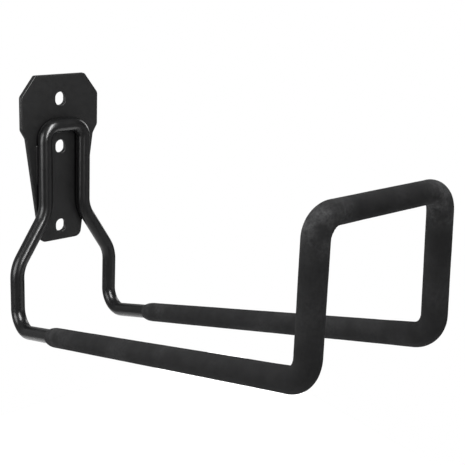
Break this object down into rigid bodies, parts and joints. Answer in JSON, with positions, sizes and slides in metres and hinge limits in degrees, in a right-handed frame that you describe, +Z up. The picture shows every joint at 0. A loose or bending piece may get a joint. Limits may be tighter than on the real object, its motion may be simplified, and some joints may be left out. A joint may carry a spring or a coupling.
{
  "type": "bicycle wall rack",
  "caption": "Wall rack for a bicycle: a bent steel rod loop with a foam sleeve, standing out from a tapered screw-on wall plate.",
  "frame": {"origin": "on the wall plate's back face, on its centreline, midway between the two upper screw holes", "axes": "+Z up, +Y into the wall, -Y the way the rack stands out, +X to the right seen from the room"},
  "size_m": [0.1062, 0.3154, 0.1854],
  "materials": {
    "powder_coat": "satin black powder coat",
    "foam": "matt black closed-cell foam",
    "weld_steel": "dressed weld"
  },
  "bodies": {
    "root": {"wall_plate": "powder_coat", "bent_rod": "powder_coat", "leg_weld_left": "powder_coat", "leg_weld_right": "powder_coat", "rod_end_weld": "weld_steel", "foam_sleeve": "foam"}
  },
  "joints": []
}
